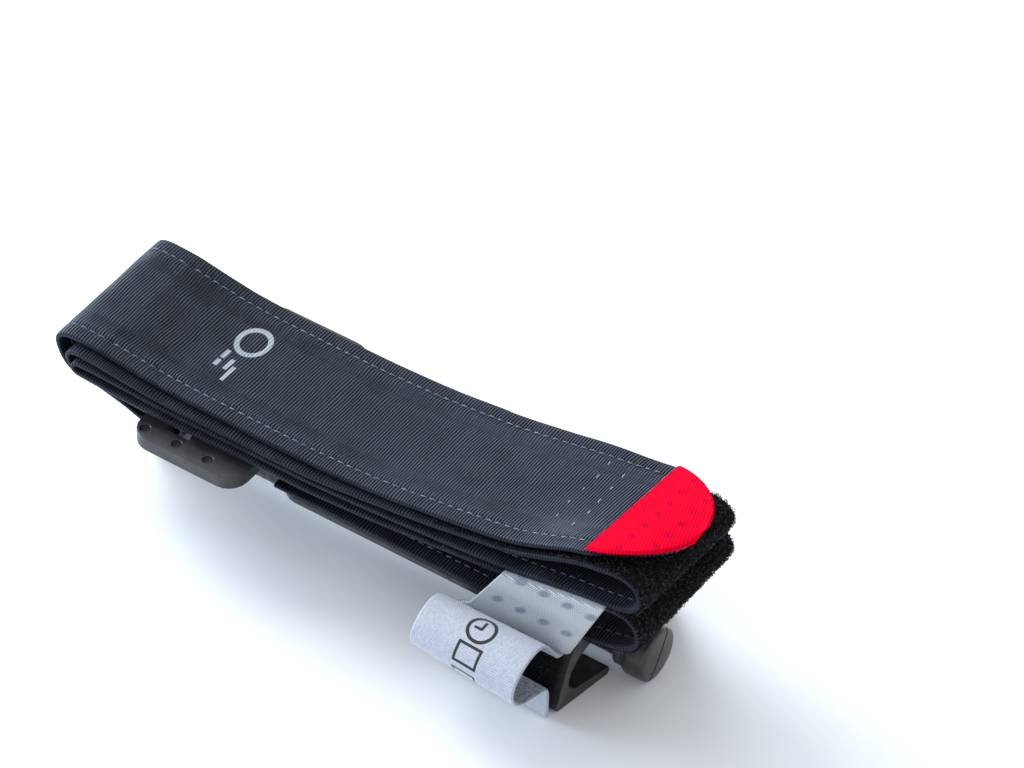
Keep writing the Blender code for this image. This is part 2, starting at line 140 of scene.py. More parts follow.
# Studio, in metres. Lights: (name, place from the target, size, watts, colour)
FLOOR_REACH = 4.0
FLOOR_GAP = 0.0002
LIGHTS = (
    ("key", (-0.80, 0.22, 0.62), 0.6, 8.0, (0.97, 0.98, 1.0)),
    ("rim", (-0.78, 0.56, 0.26), 0.4, 7.0, (0.62, 0.80, 1.0)),
    ("side", (-0.95, -0.25, 0.22), 0.35, 10.0, (0.68, 0.82, 1.0)),
)

# Printed marks: how soft their edges are, and the bars beside the ring on the tail (place
# along, place across, half width, half height)
INK_BLUR = 0.06
BARS = (
    *((2.9, -1.6, 0.55, 1.5), (2.9, -4.9, 0.55, 1.1)),
    *((0.2, -4.0, 0.55, 1.9), (-1.4, -6.6, 0.5, 2.6)),
)

# Closing strap: how much longer its tucked end is than the solid's, how much smaller its roll
# gets at the left, and the radius of the bend in between the rings
STRAP_THICK = 0.7
STRAP_STEP = 0.14
KNIT_PITCH = 0.55
TUCK_EXTRA = 5.0
ROLL_NARROWING = 0.14
TUCK_BEND_RADIUS = 0.6

# Small straps: (node, side axis, body, thickness, distance of the seams from the edge)
SMALL_STRAPS = (
    ("anchor_loop", 1, "base", 0.75, 2.2),
    ("slot_loop", 0, "windlass", 1.1, None),
)

# Windlass rod: shaft and collar as shares of the head's radius, length of each end, the grip's
# rings (first, distance, depth) and half the window for the strap
SHAFT_SHARE = 0.64
COLLAR_SHARE = 0.85
ROD_END = 9.2
GRIP_START = 14.0
GRIP_PITCH = 2.4
GRIP_DEPTH = 0.16
WINDOW_HALF = (9.4, 12.0, 1.85)
SLIT_TURN = 31.0

# The band's nodes, from its red tip to the plate. For each, how far its layers lie out of line
# to the side: (share of the node's length, millimetres)
SIDEWAYS = {
    "tail_end_band": [(0.5, 0.0)],
    "upper_tail_band": [(0.5, 0.0)],
    "tail_fold_band": [(0.5, -0.3)],
    "lower_tail_band": [(0.5, -0.2)],
    "buckle_turn_band": [(0.5, -0.2)],
    "lead_band": [(0.5, -0.9)],
    "outer_fold_band": [(0.5, -2.5)],
    "upper_ring_band": [
        *((0.02, -2.6), (0.2, -2.0), (0.36, 0.0)),
        *((0.55, -0.8), (0.7, -0.8), (0.98, -3.0)),
    ],
    "inner_fold_band": [(0.5, -3.3)],
    "lower_ring_band": [(0.03, -3.9), (0.2, -2.6), (0.37, 0.0), (0.7, 0.2), (1.0, 0.0)],
}
BAND_NODES = list(SIDEWAYS)


# ---- reading the frame


def mesh_points(mesh):
    points = np.empty(len(mesh.vertices) * 3, np.float32)
    mesh.vertices.foreach_get("co", points)
    return points.reshape(-1, 3)


def move_points(mesh, points):
    mesh.vertices.foreach_set("co", points.astype(np.float32).ravel())
    mesh.update()


def cad_mesh(node):
    """(points in metres, triangles) of a CAD node, with equal points merged."""
    mesh = frame["nodes"][node].data
    mesh.calc_loop_triangles()
    corners = np.empty(len(mesh.loop_triangles) * 3, np.int32)
    mesh.loop_triangles.foreach_get("vertices", corners)
    points, index = np.unique(mesh_points(mesh), axis=0, return_inverse=True)
    triangles = index.reshape(-1)[corners].reshape(-1, 3)
    spread = triangles[:, [0, 1, 2]] != triangles[:, [1, 2, 0]]
    return points.astype(float), triangles[spread.all(1)]


def side_outline(points, triangles, axis, far):
    """The loop of points round a sheet's side wall, which is a sliver as thick as the sheet."""
    middle = (points[:, axis].min() + points[:, axis].max()) / 2
    on_side = (points[:, axis] > middle) == far
    wall = triangles[on_side[triangles].all(1)]
    edges = {(int(a), int(b)) for t in wall for a, b in zip(t, np.roll(t, -1))}
    after = {a: b for a, b in edges if (b, a) not in edges}
    loop = [next(iter(sorted(after)))]
    while after[loop[-1]] != loop[0]:
        loop.append(after[loop[-1]])
    return points[loop]


def wall_middle(loop):
    """The line halfway through a side wall. The wall's two long sides have one point each for
    every station, so the right split is the one that keeps their distance steady."""
    count = len(loop) // 2
    steps = np.arange(count)
    best, found = None, None
    for start in range(count):
        one, other = loop[(start + steps) % len(loop)], loop[(start - 1 - steps) % len(loop)]
        gap = np.linalg.norm(one - other, axis=1)
        if best is None or np.ptp(gap) < best:
            best, found = np.ptp(gap), (one + other) / 2
    return found


def sheet_edges(node, axis):
    """The near and the far edge line of a CAD sheet, station by station."""
    points, triangles = cad_mesh(node)
    near = wall_middle(side_outline(points, triangles, axis, False))
    far = wall_middle(side_outline(points, triangles, axis, True))
    in_plane = 1 - np.eye(3)[axis]
    ahead, behind = (near[0] - far[0]) * in_plane, (near[0] - far[-1]) * in_plane
    if np.linalg.norm(ahead) > np.linalg.norm(behind):
        far = far[::-1]
    if len(near) != len(far):
        far = resampled(far, arc_length(far), len(near))
    return near, far


def arc_length(line):
    return np.r_[0, np.cumsum(np.linalg.norm(np.diff(line, axis=0), axis=1))]


def resampled(values, length, count):
    at = np.linspace(0, length[-1], count)
    return np.stack([np.interp(at, length, column) for column in values.T], 1)


def softened_line(values, spread):
    """The samples after a Gaussian blur, with the ends kept where they are."""
    reach = int(4 * spread)
    kernel = np.exp(-0.5 * (np.arange(-reach, reach + 1) / spread) ** 2)
    kernel /= kernel.sum()
    head = 2 * values[0] - values[1 : reach + 1][::-1]
    tail = 2 * values[-1] - values[-reach - 1 : -1][::-1]
    padded = np.concatenate([head, values, tail])
    return np.stack([np.convolve(c, kernel, "valid") for c in padded.T], 1)


class Path:
    """A strap's line: its two edges at even steps, the normal to its left, and the distance
    along it. cuts holds, for each CAD node, the first and last station."""

    def __init__(self, nodes, axis, begin, blur=0.8, step=STEP):
        near, far, owner = [], [], []
        end = np.array(begin, float)
        for k, node in enumerate(nodes):
            a, b = sheet_edges(node, axis)
            if np.linalg.norm(a[-1] - end) < np.linalg.norm(a[0] - end):
                a, b = a[::-1], b[::-1]
            near.append(a)
            far.append(b)
            owner += [k] * len(a)
            end = a[-1]
        both = np.concatenate([np.concatenate(near), np.concatenate(far)], 1)
        length = arc_length((both[:, :3] + both[:, 3:]) / 2)
        count = int(round(length[-1] / (step * MM))) + 1
        even = softened_line(resampled(both, length, count), blur / step)
        self.near, self.far = even[:, :3], even[:, 3:]
        self.axis = axis
        self.middle = (self.near + self.far) / 2
        self.along = arc_length(self.middle) / MM
        run = np.gradient(self.middle, axis=0)
        run[:, axis] = 0
        run /= np.linalg.norm(run, axis=1)[:, None]
        across = np.eye(3)[axis]
        self.normal = np.cross(run, across) if axis == 1 else np.cross(across, run)
        self.run = run
        owner = np.array(owner)
        self.cuts = {}
        for k, node in enumerate(nodes):
            inside = np.flatnonzero(owner == k)
            low, high = length[inside[0]], length[inside[-1]]
            if k:
                low = (low + length[inside[0] - 1]) / 2
            if k < len(nodes) - 1:
                high = (high + length[inside[-1] + 1]) / 2
            to_index = (count - 1) / length[-1]
            self.cuts[node] = (int(round(low * to_index)), int(round(high * to_index)))

    def lengthen(self, extra):
        """Adds straight stations before the first, for extra millimetres."""
        count = int(extra / (self.along[1] - self.along[0]))
        ahead = np.arange(count, 0, -1)[:, None]
        for name in ("near", "far", "middle"):
            line = getattr(self, name)
            step = (line[0] - line[8]) / 8
            setattr(self, name, np.concatenate([line[0] + ahead * step, line]))
        self.normal = np.concatenate([np.repeat(self.normal[:1], count, 0), self.normal])
        self.run = np.concatenate([np.repeat(self.run[:1], count, 0), self.run])
        self.along = arc_length(self.middle) / MM
        self.cuts = {node: (a + count, b + count) for node, (a, b) in self.cuts.items()}

    def slide_sideways(self, shift):
        """Moves each station along the side axis by shift millimetres."""
        for line in (self.near, self.far, self.middle):
            line[:, self.axis] += shift * MM

    def draw_in(self, node, shift, reach):
        """Pulls a fold at the left back by shift millimetres. The layers that run into it
        follow, less and less over the given reach."""
        first, last = self.cuts[node]
        tip = first + int(np.argmin(self.middle[first : last + 1, 0]))
        away = np.abs(self.along - self.along[tip])
        ease = 1 - smooth_between(away, 0.35 * reach, reach)
        for line in (self.near, self.far, self.middle):
            line[:, 0] += shift * MM * ease

    def lift_corner(self, nodes, rise, reach, low, high):
        """Raises the nodes' far edge at the left end by rise millimetres, less and less over the
        given reach to the right, and from the height high down to the height low."""
        first, last = self.cuts[nodes[0]][0], self.cuts[nodes[-1]][1]
        x, z = self.middle[first : last + 1, 0], self.middle[first : last + 1, 2]
        share = np.zeros(len(self.along))
        ease = 1 - smooth_between(x, x.min(), x.min() + reach * MM)
        share[first : last + 1] = ease * smooth_between(z, low, high)
        self.lift_far(rise * share)

    def lift_far(self, rise):
        """Raises the far edge by rise millimetres, one value for each station."""
        self.far[:, 2] += rise * MM
        self.middle[:, 2] += rise * MM / 2

    def shape_free_end(self, stop=None):
        """Lifts the far edge of the free end, which stops at a station, and shortens its tip."""
        seam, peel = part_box("red_tip")[0].x, joint_point("tail_peel").x
        for line in (self.near, self.far, self.middle):
            x = line[:stop, 0]
            line[:stop, 0] = np.where(x > seam, seam + (x - seam) * TIP_SHARE, x)
        rise = np.zeros(len(self.along))
        rise[:stop] = FREE_END_RISE * smooth_between(self.middle[:stop, 0], peel, seam)
        self.lift_far(rise)

    def station_at(self, along):
        return np.interp(along, self.along, np.arange(len(self.along))).round().astype(int)

    def half_width(self):
        return np.abs(self.far - self.near)[:, self.axis] / 2 / MM

    def place(self, station, across, height):
        """Points at stations, across (millimetres from the middle) and height (millimetres)."""
        half = np.maximum(self.half_width()[station], 1e-6)
        share = across / half
        reach = (self.far - self.near)[station] / 2
        return (
            self.middle[station]
            + share[..., None] * reach
            + self.normal[station] * (height * MM)[..., None]
        )


# ---- building meshes


def mesh_of(name, points, groups, attributes=None):
    """A mesh from points and arrays of faces, one array for each corner count."""
    mesh = bpy.data.meshes.new(name)
    loops = np.concatenate([g.ravel() for g in groups]).astype(np.int32)
    sizes = np.concatenate([np.full(len(g), g.shape[1]) for g in groups])
    mesh.vertices.add(len(points))
    mesh.vertices.foreach_set("co", np.ascontiguousarray(points, np.float32).ravel())
    mesh.loops.add(len(loops))
    mesh.loops.foreach_set("vertex_index", loops)
    mesh.polygons.add(len(sizes))
    starts = np.r_[0, np.cumsum(sizes)[:-1]].astype(np.int32)
    mesh.polygons.foreach_set("loop_start", starts)
    for key, values in (attributes or {}).items():
        kind = "FLOAT_VECTOR" if values.ndim == 2 else "FLOAT"
        field = "vector" if values.ndim == 2 else "value"
        store = mesh.attributes.new(key, kind, "POINT")
        store.data.foreach_set(field, np.ascontiguousarray(values, np.float32).ravel())
    mesh.update(calc_edges=True)
    mesh.validate()
    mesh.shade_smooth()
    return mesh


def outward(points, groups):
    """The faces, turned round if the closed shape they make is inside out."""
    volume = 0.0
    for g in groups:
        for k in range(1, g.shape[1] - 1):
            a, b, c = points[g[:, 0]], points[g[:, k]], points[g[:, k + 1]]
            volume += np.einsum("ij,ij->", a, np.cross(b, c))
    return groups if volume > 0 else [g[:, ::-1] for g in groups]


def ring_walls(index):
    """The quads between the rows of a grid of points whose rows close on themselves."""
    a, b = index[:-1], index[1:]
    return np.stack([a, b, np.roll(b, -1, 1), np.roll(a, -1, 1)], -1).reshape(-1, 4)


def flat_strip(name, grid, attributes):
    """A closed strip from rows of points. Each row goes across the top and back below."""
    rows, ring, _ = grid.shape
    walls = ring_walls(np.arange(rows * ring).reshape(rows, ring))
    pair = np.arange(ring // 2 - 1)
    ladder = np.stack([pair, pair + 1, ring - 2 - pair, ring - 1 - pair], -1)
    faces = np.concatenate([walls, ladder, ladder[:, ::-1] + (rows - 1) * ring])
    points = grid.reshape(-1, 3)
    return mesh_of(name, points, outward(points, [faces]), attributes)


def turned_shape(name, grid, attributes=None):
    """A closed shape from rings of points, with a flat face at each end."""
    rows, ring, _ = grid.shape
    index = np.arange(rows * ring).reshape(rows, ring)
    ends = np.stack([index[0], index[-1, ::-1]])
    points = grid.reshape(-1, 3)
    return mesh_of(name, points, outward(points, [ring_walls(index), ends]), attributes)


def add_object(name, data):
    obj = bpy.data.objects.new(name, data)
    bpy.context.scene.collection.objects.link(obj)
    return obj


def add_piece(name, mesh, finish, move, replaced=()):
    """Adds a piece, which may stand for CAD nodes. move is the name of the body that it rides
    on, or a function that is applied to the piece instead."""
    piece = add_object(name, mesh)
    mesh.materials.append(finish)
    if replaced:
        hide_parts(*replaced)
    if callable(move):
        move(piece)
    else:
        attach(piece, move)
    return piece


def spread_columns(half, seam=None):
    """Positions across a strap, from edge to edge: even, but close at the edges and seams."""
    columns = set(np.linspace(-half, half, 2 * int(half / 1.6) + 1).round(4))
    for edge in (0.15, 0.5, 1.0):
        columns |= {edge - half, half - edge}
    if seam:
        for off in (-0.7, -0.35, 0.0, 0.35, 0.7):
            columns |= {seam + off - half, half - seam - off}
    return np.array(sorted(columns)) / half


def strip(name, path, stretch, thick, relief, shares, lift=0.0, inset=0.0):
    """A closed strip along a path, between the two stations of stretch. relief gives the height
    of its surface, in millimetres, from (distance along, distance across, distance from the
    edge, side)."""
    first, last = stretch
    stations = np.arange(len(path.along))[first : None if last is None else last + 1]
    half = np.maximum(path.half_width()[stations] - inset, LEAST_HALF)
    edge_share = np.r_[EDGE_SHARE, np.ones(len(shares) - 2), EDGE_SHARE]
    points, marks, crests = [], [], []
    for side in (1, -1):
        order = shares if side > 0 else shares[::-1]
        rise = edge_share if side > 0 else edge_share[::-1]
        across = half[:, None] * order[None, :]
        edge = half[:, None] - np.abs(across)
        along = np.broadcast_to(path.along[stations][:, None], across.shape)
        height, crest = relief(along, across, edge, side)
        level = lift + side * rise[None, :] * (thick / 2) + side * rise[None, :] * height
        grid = np.broadcast_to(stations[:, None], across.shape)
        points.append(path.place(grid, across, level))
        marks.append(np.stack([along, across, np.full_like(across, side)], -1))
        crests.append(crest)
    attributes = {
        "weave": np.concatenate(marks, 1).reshape(-1, 3),
        "crest": np.concatenate(crests, 1).ravel(),
    }
    return flat_strip(name, np.concatenate(points, 1), attributes)


def tubes(name, lines, up, radius, sides=6):
    """Many closed tubes in one mesh. lines is (tubes, points, 3) in metres, up the same shape
    or one vector for each tube."""
    count, steps, _ = lines.shape
    run = np.gradient(lines, axis=1)
    run /= np.maximum(np.linalg.norm(run, axis=2), 1e-12)[..., None]
    up = np.broadcast_to(up if up.ndim == 3 else up[:, None, :], lines.shape)
    side = np.cross(run, up)
    side /= np.maximum(np.linalg.norm(side, axis=2), 1e-12)[..., None]
    top = np.cross(side, run)
    angle = 2 * np.pi * np.arange(sides) / sides
    taper = np.ones(steps)
    taper[[0, -1]] = 0.55
    size = (radius * MM * taper)[None, :, None, None]
    rim = side[:, :, None, :] * np.cos(angle)[None, None, :, None]
    rim = rim + top[:, :, None, :] * np.sin(angle)[None, None, :, None]
    points = (lines[:, :, None, :] + size * rim).reshape(-1, 3)
    index = np.arange(count * steps * sides).reshape(count, steps, sides)
    a, b = index[:, :-1], index[:, 1:]
    walls = np.stack([a, np.roll(a, -1, 2), np.roll(b, -1, 2), b], -1).reshape(-1, 4)
    ends = np.concatenate([index[:, 0, ::-1], index[:, -1]])
    return mesh_of(name, points, outward(points, [walls, ends]))


def waves(a, b, seed, size, count=7):
    """A smooth wandering field, about -1 to 1, that changes over the given size."""
    rng = np.random.default_rng(seed)
    total = np.zeros(np.broadcast(a, b).shape)
    for _ in range(count):
        angle, phase = rng.uniform(0, 2 * math.pi, 2)
        rate = 2 * math.pi / (size * rng.uniform(0.7, 1.8))
        total += np.sin(rate * (a * math.cos(angle) + b * math.sin(angle)) + phase)
    return total / math.sqrt(count) / 1.4


def smooth_between(value, low, high):
    t = np.clip((value - low) / (high - low), 0, 1)
    return t * t * (3 - 2 * t)


# ---- surface relief


def rib_relief(pitch=RIB_PITCH, height=RIB_RELIEF, seam=SEAM_INSET, drag=1.5, seed=1):
    """Ribs across a woven band. They bend where the two seams drag them along."""

    def relief(along, across, edge, side):
        pull = drag * (1 - smooth_between(edge, seam, seam + 6.5)) if seam else 0.0
        pull = pull + 0.22 * waves(along, across, seed, 9.0)
        phase = (along + pull) / pitch + (0.5 if side < 0 else 0.0)
        crest = np.abs(np.sin(np.pi * phase)) ** 0.65
        strength = height * (0.45 + 0.55 * smooth_between(edge, 0.2, 1.3))
        surface = strength * crest + 0.05 * waves(along, across, seed + 1, 14.0)
        if seam:
            surface -= 0.16 * np.exp(-(((edge - seam) / 0.42) ** 2))
            pucker = np.exp(-(((edge - seam) / 1.4) ** 2))
            surface += 0.04 * pucker * np.cos(2 * np.pi * along / STITCH_PITCH)
        return surface, crest

    return relief


def knit_relief(along, across, edge, side):
    """Rows of small knit loops."""
    row = along / KNIT_PITCH
    loop = across / (KNIT_PITCH * 1.15) + 0.5 * np.floor(row)
    crest = np.abs(np.sin(np.pi * row)) ** 0.7 * (0.6 + 0.4 * np.abs(np.sin(np.pi * loop)))
    return 0.05 * crest + 0.05 * waves(along, across, 5, 8.0), crest


def weave_relief(along, across, edge, side):
    """A fine twill: thin slanting lines."""
    crest = np.abs(np.sin(np.pi * (along * 0.94 + across * 0.34) / 0.78))
    turned_down = -side * 0.5 * (1 - smooth_between(edge, 0.0, 0.9))
    return 0.02 * crest + 0.04 * waves(along, across, 8, 7.0) + turned_down, crest


def pile_relief(along, across, edge, side):
    """The lumpy ground that the pile loops stand on."""
    lump = waves(along, across, 11, 0.9, 10) + 0.6 * waves(along, across, 12, 0.55, 10)
    return 0.09 * lump, 0.5 + 0.35 * lump


# ---- materials


class Finish:
    """A node material under construction. A link or a value may stand for any input."""

    def __init__(self, name, roughness=0.8, sheen=0.0, tint=(1.0, 1.0, 1.0)):
        self.material = bpy.data.materials.new(name)
        self.material.use_nodes = True
        self.tree = self.material.node_tree
        self.shader = self.tree.nodes["Principled BSDF"]
        self.set("Roughness", roughness)
        self.set("Sheen Weight", sheen)
        self.set("Sheen Roughness", 0.4)
        self.set("Sheen Tint", (*tint, 1.0))

    def feed(self, socket, value):
        if isinstance(value, bpy.types.NodeSocket):
            self.tree.links.new(value, socket)
        else:
            socket.default_value = value

    def set(self, name, value):
        self.feed(self.shader.inputs[name], value)

    def math(self, operation, a, b=0.0, c=0.0):
        node = self.tree.nodes.new("ShaderNodeMath")
        node.operation = operation
        for socket, value in zip(node.inputs, (a, b, c)):
            self.feed(socket, value)
        return node.outputs[0]

    def times(self, a, b):
        return self.math("MULTIPLY", a, b)

    def plus(self, a, b):
        return self.math("ADD", a, b)

    def minus(self, a, b):
        return self.math("SUBTRACT", a, b)

    def weave(self):
        """The "weave" attribute: its vector and its three parts, and the height of the relief."""
        nodes = []
        for name in ("weave", "crest"):
            node = self.tree.nodes.new("ShaderNodeAttribute")
            node.attribute_name = name
            nodes.append(node)
        vector = nodes[0].outputs["Vector"]
        return vector, *self.parts(vector), nodes[1].outputs["Fac"]

    def parts(self, vector):
        node = self.tree.nodes.new("ShaderNodeSeparateXYZ")
        self.feed(node.inputs[0], vector)
        return node.outputs

    def place(self):
        """The point itself, in millimetres."""
        geometry = self.tree.nodes.new("ShaderNodeTexCoord")
        node = self.tree.nodes.new("ShaderNodeVectorMath")
        node.operation = "SCALE"
        self.feed(node.inputs[0], geometry.outputs["Object"])
        node.inputs["Scale"].default_value = 1 / MM
        return node.outputs[0]

    def noise(self, vector, scale, detail=4.0, rough=0.55):
        node = self.tree.nodes.new("ShaderNodeTexNoise")
        self.feed(node.inputs["Vector"], vector)
        node.inputs["Scale"].default_value = scale
        node.inputs["Detail"].default_value = detail
        node.inputs["Roughness"].default_value = rough
        return node.outputs["Fac"]

    def span(self, value, low, high, to_low=0.0, to_high=1.0):
        node = self.tree.nodes.new("ShaderNodeMapRange")
        node.interpolation_type = "SMOOTHSTEP"
        for socket, given in zip(node.inputs[:5], (value, low, high, to_low, to_high)):
            self.feed(socket, given)
        return node.outputs[0]

    def mix(self, share, a, b):
        node = self.tree.nodes.new("ShaderNodeMix")
        node.data_type = "RGBA"
        self.feed(node.inputs["Factor"], share)
        for socket, colour in ((node.inputs[6], a), (node.inputs[7], b)):
            self.feed(socket, (*colour, 1.0) if isinstance(colour, tuple) else colour)
        return node.outputs[2]

    def bump(self, height, distance, strength=1.0):
        node = self.tree.nodes.new("ShaderNodeBump")
        node.inputs["Strength"].default_value = strength
        node.inputs["Distance"].default_value = distance * MM
        self.feed(node.inputs["Height"], height)
        self.set("Normal", node.outputs[0])

    def distance(self, u, v):
        return self.math("SQRT", self.plus(self.math("POWER", u, 2.0), self.math("POWER", v, 2.0)))

    def lattice(self, u, v, pitch_u, pitch_v, radius, soft):
        """1 inside the dots of a rectangular lattice, 0 outside."""
        du, dv = (
            self.times(self.math("PINGPONG", self.math("DIVIDE", w, pitch), 0.5), pitch)
            for w, pitch in ((u, pitch_u), (v, pitch_v))
        )
        return self.span(self.distance(du, dv), radius - soft, radius + soft, 1.0, 0.0)

    def ring(self, u, v, centre, radius, width, squash=1.0):
        """1 on a ring about a centre, 0 elsewhere."""
        du = self.minus(u, centre[0])
        dv = self.times(self.minus(v, centre[1]), squash)
        off = self.math("ABSOLUTE", self.minus(self.distance(du, dv), radius))
        return self.span(off, width / 2 - INK_BLUR, width / 2 + INK_BLUR, 1.0, 0.0)

    def box(self, u, v, centre, half_u, half_v):
        """1 inside a rectangle, 0 elsewhere."""
        inside = []
        for w, middle, half in ((u, centre[0], half_u), (v, centre[1], half_v)):
            off = self.math("ABSOLUTE", self.minus(w, middle))
            inside.append(self.span(off, half - INK_BLUR, half + INK_BLUR, 1.0, 0.0))
        return self.times(*inside)

    def any_of(self, masks):
        total = masks[0]
        for mask in masks[1:]:
            total = self.math("MAXIMUM", total, mask)
        return total


def band_finish(name, marks=None):
    """Ribbed near-black webbing with bluish lights. marks may add a pale printed pattern."""
    f = Finish(name, 0.5, 0.05, (0.42, 0.58, 1.0))
    weave, along, across, side, crest = f.weave()
    patch = f.span(f.noise(weave, 0.16, 5.0), 0.35, 0.7)
    speck = f.span(f.noise(weave, 3.2, 3.0), 0.5, 0.78)
    base = f.mix(patch, (0.012, 0.0125, 0.016), (0.026, 0.028, 0.038))
    # Painted shade: the crest attribute darkens the valleys between the ribs to near black.
    ribs = f.mix(f.span(crest, 0.4, 1.0), (0.0008, 0.0009, 0.0014), base)
    lit = f.mix(f.times(speck, 0.22), ribs, (0.08, 0.095, 0.135))
    if marks:
        ink = f.times(marks(f, along, across), f.math("LESS_THAN", side, 0.0))
        ink = f.times(ink, f.span(crest, 0.1, 0.55, 0.35, 1.0))
        lit = f.mix(ink, lit, (0.36, 0.38, 0.42))
    f.set("Base Color", lit)
    f.set("Roughness", f.span(patch, 0.0, 1.0, 0.36, 0.5))
    f.set("Specular IOR Level", f.span(crest, 0.35, 0.95, 0.01, 0.26))
    f.set("Specular Tint", (0.62, 0.74, 1.0, 1.0))
    yarn = f.math("SINE", f.times(across, 2 * math.pi / 0.26))
    f.bump(f.plus(yarn, f.times(f.noise(weave, 5.0), 1.4)), 0.03, 0.7)
    return f.material


def thread_finish():
    """Pale blue-grey sewing thread with a twist."""
    f = Finish("seam_thread", 0.55, 0.3)
    point = f.place()
    tone = f.span(f.noise(point, 0.7), 0.3, 0.7)
    f.set("Base Color", f.mix(tone, (0.045, 0.055, 0.085), (0.16, 0.19, 0.26)))
    f.bump(f.noise(point, 9.0), 0.03)
    return f.material


def tack_glint_finish():
    """The tacks near the red tip, painted pale: a painted highlight that stands for glints on
    their dark thread.
    """
    f = Finish("tack_thread_glints", 0.5, 0.3)
    point = f.place()
    # Painted highlight: the pale colours stand for glints on dark thread.
    f.set("Base Color", f.mix(f.noise(point, 2.0), (0.22, 0.20, 0.15), (0.62, 0.60, 0.52)))
    f.bump(f.noise(point, 9.0), 0.03)
    return f.material


def pile_finish():
    """Black loop pile. A random share of its loops is painted lighter grey: painted glints on the
    loops.
    """
    f = Finish("loop_pile", 0.75)
    f.set("Specular IOR Level", 0.25)
    geometry = f.tree.nodes.new("ShaderNodeNewGeometry")
    island = geometry.outputs["Random Per Island"]
    # Painted highlight: loops picked at random are painted grey as glints.
    tone = f.mix(f.span(island, 0.6, 1.0), (0.0012, 0.0012, 0.0016), (0.12, 0.124, 0.14))
    f.set("Base Color", f.mix(f.noise(f.place(), 1.2), tone, (0.002, 0.002, 0.003)))
    f.set("Roughness", f.span(island, 0.0, 1.0, 0.7, 0.32))
    f.bump(f.noise(f.place(), 6.0), 0.05)
    return f.material


def ground_finish():
    """The flat black cloth that loops and hooks stand on."""
    f = Finish("pile_ground", 0.85)
    f.set("Specular IOR Level", 0.1)
    tone = f.span(f.noise(f.place(), 2.2), 0.35, 0.75)
    f.set("Base Color", f.mix(tone, (0.0015, 0.0015, 0.002), (0.012, 0.012, 0.014)))
    f.bump(f.noise(f.place(), 6.0), 0.08)
    return f.material


def red_finish():
    """Vivid red tape with a fine twill, and the faint shadows of the hook dots below it."""
    f = Finish("red_tape", 0.8)
    f.set("Specular IOR Level", 0.02)
    weave, along, across, _, crest = f.weave()
    dots = f.lattice(along, across, 6.8, 5.0, 1.05, 0.6)
    broken = f.times(dots, f.span(f.noise(weave, 2.4), 0.3, 0.6, 0.1, 0.6))
    # Painted shade: the twill's grooves are painted a darker red by the crest attribute.
    base = f.mix(f.span(crest, 0.0, 0.9), (0.50, 0.0, 0.010), (0.84, 0.0, 0.026))
    tone = f.mix(f.times(f.noise(weave, 0.25), 0.3), base, (0.66, 0.0, 0.014))
    f.set("Base Color", f.mix(broken, tone, (0.22, 0.0, 0.03)))
    f.bump(f.plus(f.noise(weave, 6.0), f.times(crest, 0.8)), 0.03)
    return f.material


def cloth_finish(dot_end, plain_side, marks):
    """The closing strap's cloth: knit with soft dots on its tucked end, brushed and printed on
    the roll, and darker and mottled on its other side."""
    f = Finish("strap_cloth", 0.85, 0.35)
    weave, along, across, side, crest = f.weave()
    # Painted shade: the knit's valleys are painted dark blue-grey by the crest attribute.
    knit = f.mix(f.span(crest, 0.15, 0.85), (0.075, 0.09, 0.13), (0.60, 0.62, 0.66))
    leaning = f.plus(across, f.times(along, 0.16))
    dots = f.lattice(leaning, f.plus(along, 2.0), 6.1, 9.6, 1.3, 0.6)
    worn = f.times(dots, f.span(f.noise(weave, 1.9, 3.0), 0.3, 0.6, 0.3, 0.85))
    dotted = f.mix(worn, knit, (0.10, 0.135, 0.21))
    mottle = f.span(f.noise(weave, 1.7, 6.0, 0.7), 0.3, 0.7)
    fluff = f.mix(mottle, (0.36, 0.39, 0.46), (0.50, 0.53, 0.60))
    # Painted shade: the valleys of the brushed roll are darkened by the crest attribute.
    brushed = f.mix(f.span(crest, 0.1, 0.7, 0.55, 0.0), fluff, (0.24, 0.26, 0.33))
    brushed = f.mix(marks(f, along, across), brushed, (0.012, 0.012, 0.014))
    outer = f.mix(f.span(along, dot_end - 0.8, dot_end + 0.8), dotted, brushed)
    blotch = f.span(f.noise(weave, 1.1, 6.0, 0.75), 0.35, 0.68)
    inner = f.mix(blotch, (0.13, 0.14, 0.17), (0.40, 0.42, 0.46))
    other = f.math("GREATER_THAN", f.times(side, plain_side), 0.0)
    f.set("Base Color", f.mix(other, outer, inner))
    f.bump(f.noise(weave, 4.5, 6.0, 0.7), 0.07, 0.8)
    return f.material


def plastic_finish(name, base, roughness, grain=1.0):
    """Moulded black plastic: fine spark grain, faint flow marks and rubbed places."""
    f = Finish(name, roughness)
    point = f.place()
    rubbed = f.span(f.noise(point, 0.22, 6.0, 0.65), 0.45, 0.75)
    colour = f.mix(rubbed, base, tuple(c * 2.1 + 0.004 for c in base))
    f.set("Base Color", colour)
    scuffs = f.span(f.noise(point, 1.3, 8.0, 0.7), 0.35, 0.7, roughness - 0.09, roughness + 0.12)
    f.set("Roughness", scuffs)
    f.set("Specular IOR Level", 0.62)
    f.bump(f.noise(point, 7.0, 3.0), 0.018 * grain, 0.6)
    return f.material


def floor_finish():
    f = Finish("floor_card", 0.6)
    tone = f.noise(f.place(), 0.004, 3.0)
    f.set("Base Color", f.mix(tone, (0.86, 0.87, 0.89), (0.90, 0.905, 0.92)))
    f.bump(f.noise(f.place(), 0.6), 0.02, 0.4)
    return f.material


# ---- how pieces move


def joint_point(name):
    return Vector(next(j for j in frame["joints"] if j["name"] == name)["pos_m"])


def blending():
    """Returns a step that only bakes a piece's transform into its mesh, leaving it on no body."""
    return lambda piece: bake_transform(piece)


